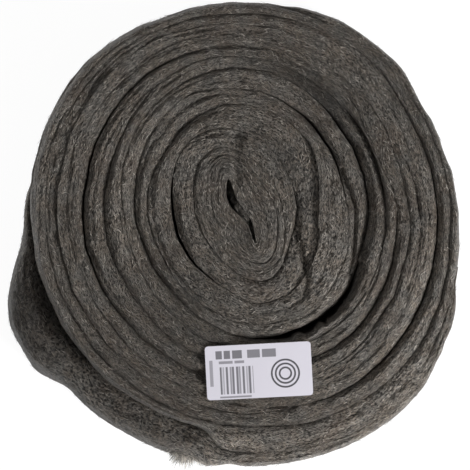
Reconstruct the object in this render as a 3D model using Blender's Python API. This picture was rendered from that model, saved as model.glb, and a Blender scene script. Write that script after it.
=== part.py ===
"""Steel wool roll: one long strip of wool wound on edge round a folded start, with a paper label.

Metres, +Z up. The roll stands on its end, as it lies on a shelf, with the origin under the
middle of its box. Angles are counted counter-clockwise from +X, seen from above, and a place
along the strip is counted in turns from its inner end.
"""
import math

import bmesh
import bpy
from mathutils import Matrix, Vector

# The strip and its winding.
STRIP_WIDTH = 0.100           # height of the roll, since the strip stands on edge
SLIT_LENGTH = 0.046           # gap left where the start of the strip is folded
SLIT_WIDTH = 0.0034
START_THICKNESS = 0.0032      # the combed-out inner end of the strip
CORE_TURNS = 4
CORE_PITCH = 0.0054           # thickness of a turn in the tight core
MIDDLE_TURNS = 2
MIDDLE_PITCH = 0.0155         # the fluffy turns round the core
OUTER_TURNS = 8.67            # up to where the last turn drops below the rim
OUTER_PITCH = 0.0109          # thickness of the first outer turn
TIGHTENING = 0.00040          # by which each outer turn is thinner than the one before
WRAP_GAP = 0.0004             # between one turn and the next
OVAL_BEARING = 113.0          # long way of the core, and of the slit in it
START_BEARING = 180.0         # where the strip begins and every turn is counted from
RIM_OVAL = 0.0038             # what is left of the slit's oval farther out
OVAL_TURNS = 11.0             # turns over which the oval fades to that
SLIT_BEND = 0.0021            # the slit is bent like a flat S
SLIT_BEND_REACH = 0.020
STATIONS_PER_TURN = 32

# The strip's section.
CROWN = 0.0036                # how far each turn's top falls to its two creases
RIM_CROWN = 0.013             # the same on the outer side of the last turn
STEEPEST_CROWN = 1.4          # most that a crown may fall, as a share of the strip's thickness
CLOSED_SHARE = 0.5            # share of the height up to which an open crease is closed
FOOT_ROUND = 0.0015           # rounding of the lower edges
RIM_FOOT_ROUND = 0.005
UNEVEN = 0.0024               # rise and fall of the top over the roll
WAVER = 0.0009                # hand-wound sideways waver of each turn

# The loose tail: the last stretch, slumped below the rim and bulging at one side.
TAIL_PRESSED = 0.0020         # its thickness where it hugs the roll
TAIL_SLUMP = 0.026            # how far its top lies below the rim
TAIL_END_SLUMP = 0.0015       # the same behind the bulge, up to its torn end
TAIL_RISE = (0.535, 0.572)    # turns from the tail's start between which its top rises again
TAIL_END_STRETCH = 0.05       # the last turns of it, that cover the rim less and less
TAIL_SHOULDER = 0.16          # share of its thickness by which its upper edge leans back
TAIL_TURNS = 0.80             # length of the tail, in turns
TAIL_BULGE = [                # turns from the tail's start, thickness added there
    (0.30, 0.0), (0.330, 0.0050), (0.400, 0.0342), (0.42, 0.0346), (0.45, 0.0254),
    (0.544, 0.0248), (0.567, 0.0100), (0.62, 0.0078), (0.67, 0.0058), (0.72, 0.0040),
    (0.77, 0.0030), (0.80, 0.0),
]
RIM_OUTLINE = [               # turn, how far the outer face of the last full turn stands off
    (13.74, 0.0), (13.80, 0.0003), (13.84, 0.0030), (13.88, 0.0056), (13.92, 0.0040),
    (13.98, 0.0028), (14.06, 0.0022), (14.12, 0.0), (14.17, -0.0030), (14.21, -0.0050),
    (14.235, 0.0055), (14.29, 0.0065), (14.33, 0.0080), (14.38, 0.0080), (14.42, 0.0030),
    (14.46, -0.0005), (14.53, -0.0035), (14.56, -0.0050), (14.59, -0.0044), (14.62, -0.0010),
    (14.65, 0.0),
]

# Places along the strip: turn, half the stretch in turns, size in metres.
LOOSE_SPOTS = [               # creases that stand open between two turns
    (5.05, 0.18, 0.0018), (6.62, 0.14, 0.0016), (7.36, 0.12, 0.0075), (7.60, 0.10, 0.0014),
    (9.98, 0.25, 0.0016), (12.45, 0.24, 0.0016),
]
PUSHES = [                    # where a turn is pushed out of its place, outwards if above zero
    (4.22, 0.16, -0.0016), (4.44, 0.15, -0.0066), (5.17, 0.13, -0.0044), (5.36, 0.12, -0.0030),
    (5.49, 0.13, -0.0046), (5.64, 0.14, 0.0075), (5.88, 0.15, -0.0050), (7.46, 0.10, -0.0016),
    (7.72, 0.12, 0.0022), (8.92, 0.12, -0.0028), (9.37, 0.07, 0.0016), (9.57, 0.075, -0.0046),
    (10.04, 0.10, 0.0018), (10.55, 0.06, -0.0026), (11.55, 0.05, -0.0030), (12.36, 0.09, 0.0022),
    (12.64, 0.06, 0.0022), (12.77, 0.14, -0.0022), (13.34, 0.10, 0.0018), (13.41, 0.09, 0.0026),
    (13.64, 0.06, 0.0026),
]
DROPS = [                     # where the top of a turn has sunk
    (5.52, 0.24, 0.0046), (7.46, 0.17, 0.0052), (8.60, 0.15, 0.0052), (8.30, 0.30, 0.0010),
    (13.05, 0.25, 0.0024),
]
DEEP_CREASES = [              # where the crease outside a turn is deeper, by the size
    (4.15, 0.22, 0.0014), (4.48, 0.20, 0.0034), (5.06, 0.17, 0.0070), (5.90, 0.34, 0.0026),
    (6.62, 0.12, 0.0085), (7.02, 0.24, 0.0034), (7.40, 0.22, 0.0120), (7.60, 0.16, 0.0060),
    (8.58, 0.12, 0.0040), (8.98, 0.22, 0.0050), (9.14, 0.09, 0.0050), (9.42, 0.16, 0.0060),
    (10.02, 0.24, 0.0056), (10.56, 0.16, 0.0030), (12.48, 0.30, 0.0078), (13.33, 0.34, 0.0024),
    (14.10, 0.13, 0.0120),
]
LEANS = [                     # turns that lie off the middle: turn, half stretch, bearing, offset
    (8.0, 2.6, 24.0, 0.0060), (11.4, 2.6, 300.0, 0.0030), (14.3, 2.2, 292.0, 0.0072),
]

# The label.
LABEL_LENGTH = 0.070
LABEL_WIDTH = 0.0356
LABEL_THICKNESS = 0.00025
LABEL_CORNER = 0.0022
LABEL_TURN = 9.258            # it lies over the turn outside this place
LABEL_SHARE = 0.15            # share of that turn's thickness by which its middle is farther out
LABEL_TILT = 3.0
LABEL_CLEARANCE = 0.0005      # over the crests of the wool
LABEL_CELLS = (12, 6)

WOOL_COLOUR = (0.075, 0.066, 0.058, 1.0)
PAPER_COLOUR = (0.78, 0.76, 0.84, 1.0)

RIM_TURN = CORE_TURNS + MIDDLE_TURNS + OUTER_TURNS
LAST_TURN = RIM_TURN + TAIL_TURNS
SLIT_MEAN = (SLIT_LENGTH + SLIT_WIDTH) / 4
SLIT_OVAL = (SLIT_LENGTH - SLIT_WIDTH) / 4


def smooth(value):
    """Ease from 0 to 1 as value goes from 0 to 1."""
    value = min(max(value, 0.0), 1.0)
    return value * value * (3 - 2 * value)


def bump(turn, centre, half_stretch):
    """1 at the centre of a stretch of strip, falling smoothly to 0 at its ends."""
    return smooth(1 - abs(turn - centre) / half_stretch)


def spots_at(turn, spots):
    """Sum of the sizes of a list of places along the strip, at a turn."""
    return sum(size * bump(turn, centre, half) for centre, half, size in spots)


def between_stops(place, stops):
    """A value read off a list of stops, eased from one to the next and 0 before the first."""
    for (start, low), (end, high) in zip(stops, stops[1:]):
        if start <= place <= end:
            return low + (high - low) * smooth((place - start) / (end - start))
    return stops[-1][1] if place > stops[-1][0] else 0.0


def mean_radius(turn):
    """Mean radius of the outer face of a turn: three pitches, one after the other."""
    in_core = min(turn, CORE_TURNS)
    in_middle = min(max(turn - CORE_TURNS, 0), MIDDLE_TURNS)
    in_outer = max(turn - CORE_TURNS - MIDDLE_TURNS, 0)
    wound = in_core * CORE_PITCH + in_middle * MIDDLE_PITCH
    wound += in_outer * (OUTER_PITCH - TIGHTENING * in_outer / 2)
    return SLIT_MEAN + START_THICKNESS + wound


def oval_point(mean, oval, bearing):
    """A point of an oval round the slit, at a bearing in degrees."""
    angle = math.radians(bearing - OVAL_BEARING)
    along = Vector((math.cos(math.radians(OVAL_BEARING)), math.sin(math.radians(OVAL_BEARING))))
    across = Vector((-along.y, along.x))
    return along * (mean + oval) * math.cos(angle) + across * (mean - oval) * math.sin(angle)


def bearing_at(turn):
    return START_BEARING + 360 * turn


def wound_face(turn):
    """Where two turns meet: outside the strip at this turn, inside it one turn later."""
    oval = SLIT_OVAL + (RIM_OVAL - SLIT_OVAL) * min(turn / OVAL_TURNS, 1)
    bearing = bearing_at(turn)
    angle = math.radians(bearing)
    mean = mean_radius(turn) + spots_at(turn, PUSHES) + between_stops(turn, RIM_OUTLINE)
    wave = math.sin(3 * angle + 1.7 * turn) + math.sin(5 * angle - 2.3 * turn)
    mean += WAVER * smooth(turn / CORE_TURNS) * wave / 2
    point = oval_point(mean, oval, bearing)
    for centre, half, lean_bearing, offset in LEANS:
        lean = math.radians(lean_bearing)
        point += Vector((math.cos(lean), math.sin(lean))) * offset * bump(turn, centre, half)
    return point


def tail_thickness(turn):
    """Thickness of the tail, read along its bulge."""
    return TAIL_PRESSED + between_stops(turn - RIM_TURN, TAIL_BULGE)


def outward(point):
    return point.normalized()


def bend_slit(point):
    """Shift a point near the slit sideways, so that the slit is bent like a flat S."""
    angle = math.radians(OVAL_BEARING)
    along = point.x * math.cos(angle) + point.y * math.sin(angle)
    shift = SLIT_BEND * math.sin(along / SLIT_LENGTH * 2 * math.pi)
    shift *= math.exp(-(point.length / SLIT_BEND_REACH) ** 2)
    return point + Vector((-math.sin(angle), math.cos(angle))) * shift


def crease(turn):
    """The middle of the crease outside the strip at this turn, along the tail as well."""
    if turn <= RIM_TURN:
        return bend_slit(wound_face(turn))
    inner = wound_face(turn - 1)
    joined = smooth((turn - RIM_TURN) / 0.06)
    tail_face = inner + outward(inner) * tail_thickness(turn)
    return wound_face(turn).lerp(tail_face, joined)


def faces_at(turn, open_share):
    """Inner and outer face of the strip, as points seen from above.

    open_share is 1 at the top, where the loose creases stand open, and 0 where they are closed.
    """
    outer = crease(turn)
    outer -= outward(outer) * (WRAP_GAP + spots_at(turn, LOOSE_SPOTS) * open_share) / 2
    if turn < 1:
        slit_wall = bend_slit(oval_point(SLIT_MEAN, SLIT_OVAL, bearing_at(turn)))
        first = bend_slit(oval_point(mean_radius(0), SLIT_OVAL, bearing_at(turn)))
        first += outward(first) * WRAP_GAP
        inner = slit_wall.lerp(first, smooth((turn - 0.8) / 0.2))
    else:
        inner = crease(turn - 1)
        inner += outward(inner) * (WRAP_GAP + spots_at(turn - 1, LOOSE_SPOTS) * open_share) / 2
    return inner, outer


def top_height(point):
    """Height of the crests over the roll: a slow rise and fall, below the full width."""
    swell = math.sin(point.x * 31 + 0.6) * math.sin(point.y * 27 - 1.1)
    return STRIP_WIDTH - UNEVEN * (1 - swell) / 2


def risen(turn):
    """Share by which the top of the tail has come up again after its slump."""
    rise_start, rise_end = TAIL_RISE
    return smooth((turn - RIM_TURN - rise_start) / (rise_end - rise_start))


def covered(turn):
    """Share by which the risen tail covers the outer side of the last full turn."""
    return risen(turn + 1) * smooth((LAST_TURN - 1 - turn) / TAIL_END_STRETCH)


def section(turn):
    """Closed section of the strip at a turn, from its inner foot up over the crown."""
    closed, opened = faces_at(turn, 0), faces_at(turn, 1)
    thickness = (closed[1] - closed[0]).length
    rim = smooth((turn - RIM_TURN + 1) / 0.15)
    tail = smooth((turn - RIM_TURN) / 0.10)
    top = top_height((closed[0] + closed[1]) / 2) - spots_at(turn, DROPS)
    top -= tail * (TAIL_SLUMP + (TAIL_END_SLUMP - TAIL_SLUMP) * risen(turn))
    foot = min(FOOT_ROUND + (RIM_FOOT_ROUND - FOOT_ROUND) * rim, thickness * 0.35)
    inner_foot = min(FOOT_ROUND, thickness * 0.35)
    deepest = thickness * STEEPEST_CROWN
    inner_fall = min(CROWN + spots_at(turn - 1, DEEP_CREASES), deepest)
    rim_fall = (RIM_CROWN - CROWN) * rim * (1 - covered(turn))
    outer_fall = min(CROWN + rim_fall + spots_at(turn, DEEP_CREASES), deepest)
    lean = TAIL_SHOULDER * tail
    profile = [
        (closed, inner_foot / thickness, 0.0),
        (closed, 1 - foot / thickness, 0.0),
        (closed, 1.0, foot * 2),
        (closed, 1.0, top * CLOSED_SHARE),
        (opened, 1.0 - lean, top - outer_fall),
        (opened, 0.80 - lean, top - outer_fall * 0.30),
        (opened, 0.50, top),
        (opened, 0.20, top - inner_fall * 0.30),
        (opened, 0.0, top - inner_fall),
        (closed, 0.0, top * CLOSED_SHARE),
        (closed, 0.0, inner_foot * 2),
    ]
    return [Vector((*faces[0].lerp(faces[1], share), height)) for faces, share, height in profile]


def material(name, colour, roughness, metallic):
    made = bpy.data.materials.new(name)
    made.use_nodes = True
    shader = made.node_tree.nodes["Principled BSDF"]
    shader.inputs["Base Color"].default_value = colour
    shader.inputs["Roughness"].default_value = roughness
    shader.inputs["Metallic"].default_value = metallic
    return made


def add_object(name, bm, surface, smooth_angle):
    mesh = bpy.data.meshes.new(name)
    bm.to_mesh(mesh)
    bm.free()
    mesh.shade_smooth()
    mesh.set_sharp_from_angle(angle=math.radians(smooth_angle))
    mesh.materials.append(surface)
    made = bpy.data.objects.new(name, mesh)
    bpy.context.scene.collection.objects.link(made)
    return made


def wind_strip():
    """The wound strip: its section is extruded from station to station along the spiral."""
    bm = bmesh.new()
    start = [bm.verts.new(point) for point in section(0.0)]
    end = bm.faces.new(start)
    stations = round(LAST_TURN * STATIONS_PER_TURN)
    for step in range(1, stations + 1):
        turn = min(step / STATIONS_PER_TURN, LAST_TURN)
        end = bmesh.ops.extrude_discrete_faces(bm, faces=[end])["faces"][0]
        for vert, point in zip(end.verts, section(turn)):
            vert.co = point
    bm.faces.new(reversed(start))
    bmesh.ops.recalc_face_normals(bm, faces=bm.faces)
    return bm


def paper():
    """The label: a rounded sheet that rests on the crests of the turns under it."""
    bm = bmesh.new()
    bmesh.ops.create_grid(bm, x_segments=LABEL_CELLS[0], y_segments=LABEL_CELLS[1], size=0.5)
    turned = Matrix.Rotation(math.radians(LABEL_TILT), 4, "Z")
    middle = crease(LABEL_TURN).lerp(crease(LABEL_TURN + 1), LABEL_SHARE).to_3d()
    half = Vector((LABEL_LENGTH / 2, LABEL_WIDTH / 2))
    for vert in bm.verts:
        flat = Vector((vert.co.x * LABEL_LENGTH, vert.co.y * LABEL_WIDTH, 0))
        if abs(flat.x) > half.x - 1e-6 and abs(flat.y) > half.y - 1e-6:
            flat.x -= math.copysign(LABEL_CORNER, flat.x)
            flat.y -= math.copysign(LABEL_CORNER, flat.y)
        vert.co = middle + turned @ flat
        vert.co.z = top_height(vert.co) + LABEL_CLEARANCE
    whole = bm.verts[:] + bm.edges[:] + bm.faces[:]
    raised = bmesh.ops.extrude_face_region(bm, geom=whole)["geom"]
    upper = [part for part in raised if isinstance(part, bmesh.types.BMVert)]
    bmesh.ops.translate(bm, vec=(0, 0, LABEL_THICKNESS), verts=upper)
    bmesh.ops.recalc_face_normals(bm, faces=bm.faces)
    return bm


for old in list(bpy.data.objects):
    bpy.data.objects.remove(old, do_unlink=True)

wool = add_object("wool_roll", wind_strip(), material("steel_wool", WOOL_COLOUR, 0.55, 0.6), 50)
label = add_object("paper_label", paper(), material("label_paper", PAPER_COLOUR, 0.45, 0.0), 40)
corners = [Vector(corner) for corner in wool.bound_box]
low, high = Vector(map(min, *corners)), Vector(map(max, *corners))
middle = Vector(((low.x + high.x) / 2, (low.y + high.y) / 2, 0))
for placed in (wool, label):
    placed.location = -middle
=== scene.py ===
import math

import bmesh
import bpy
import numpy as np
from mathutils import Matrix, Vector


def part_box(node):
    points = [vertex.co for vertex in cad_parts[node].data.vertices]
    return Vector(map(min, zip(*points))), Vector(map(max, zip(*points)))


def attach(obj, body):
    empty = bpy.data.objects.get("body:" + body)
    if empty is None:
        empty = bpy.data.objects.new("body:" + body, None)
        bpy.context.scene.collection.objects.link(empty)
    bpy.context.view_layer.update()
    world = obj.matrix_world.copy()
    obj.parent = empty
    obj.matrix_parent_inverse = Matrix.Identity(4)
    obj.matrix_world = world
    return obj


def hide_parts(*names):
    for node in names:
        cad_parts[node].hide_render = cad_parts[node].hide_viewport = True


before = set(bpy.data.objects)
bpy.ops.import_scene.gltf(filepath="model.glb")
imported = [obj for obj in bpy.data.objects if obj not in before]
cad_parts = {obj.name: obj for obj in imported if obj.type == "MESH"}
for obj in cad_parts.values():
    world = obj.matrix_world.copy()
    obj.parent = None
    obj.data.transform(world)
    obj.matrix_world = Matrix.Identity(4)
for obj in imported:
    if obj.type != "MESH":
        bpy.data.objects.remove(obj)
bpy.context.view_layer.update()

# Steel wool roll seen from above. All sizes are in metres.
# A place along the strip is counted in turns from its folded start, in the middle of the roll.

winding = {
    "slitCentre": (0.00746, 0.01663),  # where the slit lies in the roll's frame
    "slitLength": 0.046, "slitWidth": 0.0034, "slitBend": 0.0021, "slitBendReach": 0.020,
    "slitWallEnd": 0.8, "slitWallFade": 0.2,
    "startThickness": 0.0032, "startTip": 0.15, "startTaper": 0.14,
    "coreTurns": 4, "corePitch": 0.0054,
    "middleTurns": 2, "middlePitch": 0.0155,
    "outerTurns": 8.67, "outerPitch": 0.0109, "tightening": 0.00040,
    "ovalBearing": 113.0, "startBearing": 180.0, "rimOval": 0.0038, "ovalTurns": 11.0,
    "height": 0.100, "uneven": 0.0024, "swell": (31, 0.6, 27, 1.1),
    "waver": 0.0009, "waverWaves": ((3, 1.7), (5, -2.3)),
    # Wander of the creases: length, size and seed, then how calm it is in the core and the tail.
    "wander": ((0.021, 0.0006, 3), (0.007, 0.00035, 4)),
    "coreWander": 0.4, "wanderTurns": 5, "tailCalm": 0.7,
    "tailPressed": 0.0020, "tailSlump": 0.026, "tailEndSlump": 0.0015, "tailRise": (0.522, 0.586),
    "tailTurns": 0.80, "tailJoin": 0.06,
}
# Turn, half the stretch in turns, size: where a turn is pushed aside, a crease stands open or the
# top lies lower.
pushes = [
    (4.22, 0.16, -0.0016), (4.44, 0.15, -0.0066), (5.17, 0.13, -0.0044), (5.36, 0.12, -0.0030),
    (5.49, 0.13, -0.0046), (5.64, 0.14, 0.0075), (5.88, 0.15, -0.0050), (7.46, 0.10, -0.0016),
    (7.72, 0.12, 0.0022), (8.92, 0.12, -0.0028), (9.37, 0.07, 0.0016), (9.57, 0.075, -0.0046),
    (10.04, 0.10, 0.0018), (10.55, 0.06, -0.0026), (11.55, 0.05, -0.0030), (12.36, 0.09, 0.0022),
    (12.64, 0.06, 0.0022), (12.77, 0.14, -0.0022), (13.34, 0.10, 0.0018), (13.41, 0.09, 0.0026),
    (13.64, 0.06, 0.0026), (7.37, 0.10, 0.0012),
]
looseSpots = [
    (5.05, 0.18, 0.0018), (6.62, 0.14, 0.0016), (7.335, 0.105, 0.0056), (7.60, 0.10, 0.0014),
    (9.98, 0.25, 0.0010), (12.45, 0.24, 0.0007),
]
drops = [
    (5.52, 0.24, 0.0046), (7.46, 0.17, 0.0052), (8.60, 0.15, 0.0052), (8.30, 0.30, 0.0010),
    (13.05, 0.25, 0.0024),
]
# The same with a bearing: where several turns lean to one side.
leans = [(8.0, 2.6, 24.0, 0.0060), (11.4, 2.6, 300.0, 0.0030), (14.3, 2.2, 292.0, 0.0072)]
# Turns past the rim, how much thicker the tail is than where it is pressed.
tailBulge = [
    (0.30, 0.0), (0.330, 0.0050), (0.400, 0.0342), (0.42, 0.0346), (0.45, 0.0254),
    (0.544, 0.0248), (0.567, 0.0100), (0.62, 0.0078), (0.67, 0.0058), (0.72, 0.0040),
    (0.77, 0.0030), (0.80, -0.0016),
]
# Turn, how far the outer face of the last full turn stands off.
rimOutline = [
    (13.74, 0.0), (13.80, 0.0003), (13.84, 0.0030), (13.88, 0.0056), (13.92, 0.0040),
    (13.98, 0.0028), (14.06, 0.0022), (14.12, 0.0), (14.17, -0.0030), (14.21, -0.0050),
    (14.235, 0.0055), (14.29, 0.0065), (14.33, 0.0080), (14.38, 0.0080), (14.42, 0.0030),
    (14.46, -0.0005), (14.53, -0.0035), (14.56, -0.0050), (14.59, -0.0044), (14.62, -0.0010),
    (14.65, 0.0),
]
# Creases that look deeper or shallower: turn, half the stretch, change of depth.
deepCreases = [
    (4.15, 0.22, 0.0014), (4.48, 0.20, 0.0034), (5.06, 0.17, 0.0070), (5.90, 0.34, 0.0026),
    (6.62, 0.12, 0.0085), (7.02, 0.24, 0.0034), (7.40, 0.22, 0.0120), (7.60, 0.16, 0.0060),
    (8.58, 0.12, 0.0040), (8.98, 0.22, 0.0036), (9.14, 0.09, 0.0050), (9.42, 0.16, 0.0060),
    (10.02, 0.24, 0.0056), (10.56, 0.16, 0.0030), (12.48, 0.30, 0.0060), (13.33, 0.34, 0.0020),
    (6.12, 0.12, 0.0046), (7.13, 0.13, 0.0060), (8.14, 0.12, 0.0036), (10.16, 0.14, 0.0050),
    (11.14, 0.12, 0.0040), (12.13, 0.13, 0.0046), (13.12, 0.12, 0.0042),
    (14.10, 0.13, 0.0120), (10.75, 0.35, -0.0018), (11.10, 0.35, -0.0018), (11.45, 0.35, -0.0018),
    (11.80, 0.35, -0.0018), (12.08, 0.30, -0.0014), (12.92, 0.22, -0.0018), (13.76, 0.20, -0.0016),
    (8.86, 0.16, -0.0014), (6.86, 0.14, -0.0012), (14.32, 0.12, -0.0018), (14.44, 0.10, -0.0018),
]
# Folds that run across the turns: depth, half width, then bearing and distance from the slit.
foldLines = [
    (0.0030, 0.0042, [(99, 0.022), (97, 0.033), (95, 0.042), (94, 0.050)]),
    (0.0020, 0.0030, [(87, 0.079), (90, 0.082), (91, 0.086)]),
    (0.0046, 0.0022, [(308, 0.068), (314, 0.063), (320, 0.055), (327, 0.046), (336, 0.040)]),
    (0.0060, 0.0015, [
        (330, 0.0825), (338, 0.0800), (345, 0.0775), (0, 0.0755), (10, 0.0728), (22, 0.0716),
    ]),
    (0.0026, 0.0013, [(0, 0.1175), (8, 0.116), (16, 0.1135), (24, 0.110)]),
    (0.0034, 0.0013, [(263, 0.125), (268, 0.127), (275, 0.130), (285, 0.134)]),
]

rimTurn = winding["coreTurns"] + winding["middleTurns"] + winding["outerTurns"]
lastTurn = rimTurn + winding["tailTurns"]
slitMean = (winding["slitLength"] + winding["slitWidth"]) / 4
slitOval = (winding["slitLength"] - winding["slitWidth"]) / 4


def ease(value):
    value = np.clip(value, 0.0, 1.0)
    return value * value * (3 - 2 * value)


def bumpSum(turn, spots):
    return sum(size * ease(1 - np.abs(turn - centre) / half) for centre, half, size in spots)


def betweenStops(place, stops):
    value = np.where(place > stops[-1][0], stops[-1][1], 0.0)
    for (start, low), (end, high) in zip(stops, stops[1:]):
        share = (place - start) / (end - start)
        value = np.where((share >= 0) & (share <= 1), low + (high - low) * ease(share), value)
    return value


def latticeValue(x, y, seed):
    spot = np.sin(x * 127.1 + y * 311.7 + seed * 74.7) * 43758.5453
    return spot - np.floor(spot)


# Smooth noise from -1 to 1 on a unit lattice.
def softNoise(x, y, seed):
    x, y = np.broadcast_arrays(x, y)
    left, low = np.floor(x), np.floor(y)
    alongX, alongY = ease(x - left), ease(y - low)

    def levelValue(level):
        start, end = latticeValue(left, level, seed), latticeValue(left + 1, level, seed)
        return start * (1 - alongX) + end * alongX

    return (levelValue(low) * (1 - alongY) + levelValue(low + 1) * alongY) * 2 - 1


# Points seen from above are complex numbers, x + iy, measured from the slit.
def unit(point):
    return point / np.maximum(np.abs(point), 1e-9)


def towards(bearing):
    return np.exp(1j * np.radians(bearing))


def meanRadius(turn):
    inCore = np.minimum(turn, winding["coreTurns"])
    inMiddle = np.clip(turn - winding["coreTurns"], 0, winding["middleTurns"])
    inOuter = np.maximum(turn - winding["coreTurns"] - winding["middleTurns"], 0)
    wound = inCore * winding["corePitch"] + inMiddle * winding["middlePitch"]
    wound = wound + inOuter * (winding["outerPitch"] - winding["tightening"] * inOuter / 2)
    return slitMean + winding["startThickness"] + wound


def ovalPoint(mean, oval, bearing):
    angle = np.radians(bearing - winding["ovalBearing"])
    flat = (mean + oval) * np.cos(angle) + 1j * (mean - oval) * np.sin(angle)
    return flat * towards(winding["ovalBearing"])


def bearingAt(turn):
    return winding["startBearing"] + 360 * turn


# Where two turns meet: outside the strip at this turn, inside it one turn later.
def woundFace(turn):
    oval = slitOval + (winding["rimOval"] - slitOval) * np.minimum(turn / winding["ovalTurns"], 1)
    angle = np.radians(bearingAt(turn))
    mean = meanRadius(turn) + bumpSum(turn, pushes) + betweenStops(turn, rimOutline)
    wave = sum(np.sin(lobes * angle + drift * turn) for lobes, drift in winding["waverWaves"])
    mean = mean + winding["waver"] * ease(turn / winding["coreTurns"]) * wave / 2
    point = ovalPoint(mean, oval, bearingAt(turn))
    for centre, half, bearing, offset in leans:
        point = point + towards(bearing) * offset * ease(1 - np.abs(turn - centre) / half)
    return point


def tailThickness(turn):
    return winding["tailPressed"] + betweenStops(turn - rimTurn, tailBulge)


fineTurns = np.linspace(-1, lastTurn, 12000)
fineArcs = np.concatenate(([0.0], np.cumsum(np.abs(np.diff(woundFace(fineTurns))))))


def arcAt(turn):
    return np.interp(turn, fineTurns, fineArcs)


def turnAtArc(arc):
    return np.interp(arc, fineArcs, fineTurns)


# The slit is bent like a flat S, and the first turns round it with it.
def bendSlit(point):
    along = (point * towards(-winding["ovalBearing"])).real
    fade = np.exp(-(np.abs(point) / winding["slitBendReach"]) ** 2)
    side = towards(winding["ovalBearing"] + 90)
    return point + side * winding["slitBend"] * np.sin(along / winding["slitLength"] * 2 * math.pi) * fade


# The crease outside the strip, with the small wander that both its sides share.
def crease(turn):
    inner = woundFace(turn - 1)
    joined = ease((turn - rimTurn) / winding["tailJoin"])
    own = woundFace(turn)
    point = own + (inner + unit(inner) * tailThickness(turn) - own) * joined
    arc = arcAt(turn)
    wander = sum(softNoise(arc / length, 0.0, seed) * size for length, size, seed in winding["wander"])
    freedom = winding["coreWander"] + (1 - winding["coreWander"]) * ease(turn / winding["wanderTurns"])
    return point + unit(point) * wander * freedom * (1 - joined * winding["tailCalm"])


# The strip's inner and outer face. Its first turn lies against the slit and begins as a thin tip.
def facesAt(turn):
    outer = crease(turn)
    later = crease(turn - 1)
    slitWall = ovalPoint(slitMean, slitOval, bearingAt(turn))
    first = ovalPoint(meanRadius(0.0), slitOval, bearingAt(turn))
    early = slitWall + (first - slitWall) * ease((turn - winding["slitWallEnd"]) / winding["slitWallFade"])
    tip = winding["startTip"]
    early = outer + (early - outer) * (tip + (1 - tip) * ease(turn / winding["startTaper"]))
    return bendSlit(np.where(turn < 1, early, later)), bendSlit(outer)


# The wool's own relief, on top of the winding.
relief = {
    "creaseDepth": 0.0026, "creaseUneven": 0.6, "creasePatch": 0.055, "shallowest": 0.0003,
    "startDepth": 0.25, "fullDepthTurn": 4.6,
    "rimDepth": 0.0125, "crownPower": 1.8, "steepest": 1.4,
    "crestShift": 0.14, "crestLength": 0.07, "coveredReach": 0.02,
    # Folds along a crown: place across it and seed, then how they wander and where they part.
    "folds": ((0.26, 21), (0.50, 22), (0.76, 23)), "foldDepth": 0.0014, "foldWidth": 0.08,
    "foldShift": 0.12, "foldShiftLength": 0.05, "partLength": 0.045, "partGain": 1.6, "partBias": 0.25,
    "foldedWidth": 0.010, "foldedLimits": (0.3, 1.3),
    # Lumps, tufts and streaks: height, length along the strip and across it, shift, seed.
    "lumps": (
        (0.0008, 0.022, 0.009, 5, 31), (0.00048, 0.0085, 0.0030, 0, 32), (0.00030, 0.0040, 0.0010, 0, 33),
    ),
    "sink": 0.0012, "edgeSink": 0.3,   # keeps the relief's crests at the height of the solid's
    "gap": 0.00015, "openDown": 0.50,  # a crease that stands open closes farther down
    "footReach": 0.35, "foot": 0.0016, "rimFoot": 0.005, "tailShoulder": 0.16, "tailReach": 0.10,
    "rimReach": 0.15, "endFall": 0.0100, "endTaper": 0.05,
}
# The bare outer wall: its waves by share, length, height and seed, and where it comes into view.
bareWall = {
    "depth": 0.0008, "from": 1.04, "fade": 0.04, "rise": 5, "lowShare": 0.3, "edgeHeight": 0.09,
    "waves": ((1.0, 0.026, 0.013, 41), (0.6, 0.011, 0.005, 42), (0.3, 0.006, 0.0014, 43)),
}
# Ragged tufts that reach into the widest gap.
gapTufts = {
    "turn": 7.37, "half": 0.12, "reach": 0.0050, "length": 0.0085, "bias": 0.5,
    "gain": 1.1, "ragged": 0.4, "raggedFiner": 2.7,
}


def tailShare(turn):
    return ease((turn - rimTurn) / relief["tailReach"])


def rimShare(turn):
    return ease((turn - rimTurn + 1) / relief["rimReach"])


def smoothTop(point):
    scaleX, shiftX, scaleY, shiftY = winding["swell"]
    swell = np.sin(point.real * scaleX + shiftX) * np.sin(point.imag * scaleY - shiftY)
    return winding["height"] - winding["uneven"] * (1 - swell) / 2


def risen(turn):
    riseStart, riseEnd = winding["tailRise"]
    return ease((turn - rimTurn - riseStart) / (riseEnd - riseStart))


def plainTop(turn, middle):
    slump = winding["tailSlump"] + (winding["tailEndSlump"] - winding["tailSlump"]) * risen(turn)
    slump = slump + relief["endFall"] * ease(1 - (lastTurn - turn) / relief["endTaper"])
    return smoothTop(middle) - bumpSum(turn, drops) - tailShare(turn) * slump


def creaseDepth(turn):
    uneven = 1 + relief["creaseUneven"] * softNoise(arcAt(turn) / relief["creasePatch"], 0.0, 61)
    grown = relief["startDepth"] + (1 - relief["startDepth"]) * ease(turn / relief["fullDepthTurn"])
    depth = relief["creaseDepth"] * grown * uneven + bumpSum(turn, deepCreases)
    return np.maximum(depth, relief["shallowest"])


def foldDepth(point):
    depth = np.zeros(point.shape)
    for deep, halfWidth, stops in foldLines:
        path = np.array([distance * towards(bearing) for bearing, distance in stops])
        nearest = np.full(point.shape, np.inf)
        for start, end in zip(path, path[1:]):
            along = np.clip(((point - start) / (end - start)).real, 0, 1)
            nearest = np.minimum(nearest, np.abs(point - start - (end - start) * along))
        depth = np.maximum(depth, deep * np.exp(-(nearest / halfWidth) ** 2))
    return depth


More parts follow.
